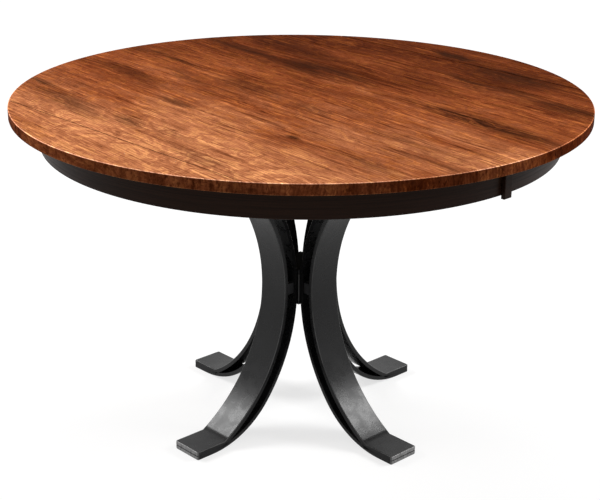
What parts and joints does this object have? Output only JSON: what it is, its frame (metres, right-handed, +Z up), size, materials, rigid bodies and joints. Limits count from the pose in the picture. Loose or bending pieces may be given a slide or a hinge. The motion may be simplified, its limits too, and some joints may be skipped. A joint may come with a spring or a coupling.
{
  "type": "extension dining table",
  "caption": "Round split-top hickory dining table on a bent flat-steel pedestal; the halves of its top slide apart on geared rails and lock under the seam.",
  "frame": {"origin": "on the floor under the centre of the pedestal", "axes": "+Z up; the seam of the top runs along Y; the halves of the top slide apart along X"},
  "size_m": [1.2192, 1.2192, 0.7366],
  "materials": {
    "hickory_top": "red-brown stained hickory with dark streaks, satin lacquer",
    "dark_apron": "very dark brown stain, satin",
    "black_steel": "black hand-worked flat steel, low sheen",
    "slide_wood": "plain hard maple, unstained",
    "pin_wood": "turned birch dowel, unstained",
    "fastener_steel": "zinc-plated",
    "gear_steel": "oiled machined steel",
    "lock_brass": "stamped, brass-coloured"
  },
  "bodies": {
    "pedestal": {"fixed_rail_back": "slide_wood", "fixed_rail_front": "slide_wood", "fixed_rail_screws": "fastener_steel", "hub": "black_steel", "inner_bar_back": "black_steel", "inner_bar_front": "black_steel", "inner_bar_left": "black_steel", "inner_bar_right": "black_steel", "mounting_board": "slide_wood", "outer_bar_back": "black_steel", "outer_bar_front": "black_steel", "outer_bar_left": "black_steel", "outer_bar_right": "black_steel", "pedestal_bolts": "fastener_steel", "pedestal_nuts": "fastener_steel", "pinion_bolt": "fastener_steel", "pinion_nut": "fastener_steel", "pinion_post": "gear_steel", "slide_stops": "slide_wood", "spacer_back": "black_steel", "spacer_front": "black_steel", "spacer_left": "black_steel", "spacer_right": "black_steel", "weld_beads": "black_steel"},
    "top_half_right": {"apron_right": "dark_apron", "glue_blocks_right": "slide_wood", "leaf_pins_right": "pin_wood", "lock_base_back": "lock_brass", "lock_keeper_front": "lock_brass", "moving_rail_right_back": "slide_wood", "moving_rail_right_front": "slide_wood", "rack_block_right": "slide_wood", "rack_right": "gear_steel", "seam_batten_front": "dark_apron", "slide_screws_right": "fastener_steel", "top_board_right_1": "hickory_top", "top_board_right_2": "hickory_top", "top_board_right_3": "hickory_top", "top_board_right_4": "hickory_top", "top_board_right_5": "hickory_top"},
    "top_half_left": {"apron_left": "dark_apron", "glue_blocks_left": "slide_wood", "leaf_pins_left": "pin_wood", "lock_base_front": "lock_brass", "lock_keeper_back": "lock_brass", "moving_rail_left_back": "slide_wood", "moving_rail_left_front": "slide_wood", "rack_block_left": "slide_wood", "rack_left": "gear_steel", "seam_batten_back": "dark_apron", "slide_screws_left": "fastener_steel", "top_board_left_1": "hickory_top", "top_board_left_2": "hickory_top", "top_board_left_3": "hickory_top", "top_board_left_4": "hickory_top", "top_board_left_5": "hickory_top"},
    "pinion": {"pinion": "gear_steel"},
    "lock_lever_front": {"lock_lever_front": "lock_brass"},
    "lock_lever_back": {"lock_lever_back": "lock_brass"}
  },
  "joints": [
    {"name": "right_half_slide", "type": "slide", "parent": "pedestal", "child": "top_half_right", "axis": [1, 0, 0], "range_m": [0, 0.3175]},
    {"name": "left_half_slide", "type": "slide", "parent": "pedestal", "child": "top_half_left", "axis": [-1, 0, 0], "range_m": [0, 0.3175]},
    {"name": "pinion_spin", "type": "hinge", "parent": "pedestal", "child": "pinion", "pos_m": [0, 0, 0.6939], "axis": [0, 0, -1], "range_deg": [0, 716.2]},
    {"name": "front_lock_swing", "type": "hinge", "parent": "top_half_left", "child": "lock_lever_front", "pos_m": [-0.032, -0.43, 0.7089], "axis": [0, 0, -1], "range_deg": [0, 90]},
    {"name": "back_lock_swing", "type": "hinge", "parent": "top_half_right", "child": "lock_lever_back", "pos_m": [0.032, 0.43, 0.7089], "axis": [0, 0, -1], "range_deg": [0, 90]}
  ],
  "couplings": [
    {"joint": "left_half_slide", "follows": "right_half_slide", "ratio": 1},
    {"joint": "pinion_spin", "follows": "right_half_slide", "rad_per_m": 39.37}
  ]
}
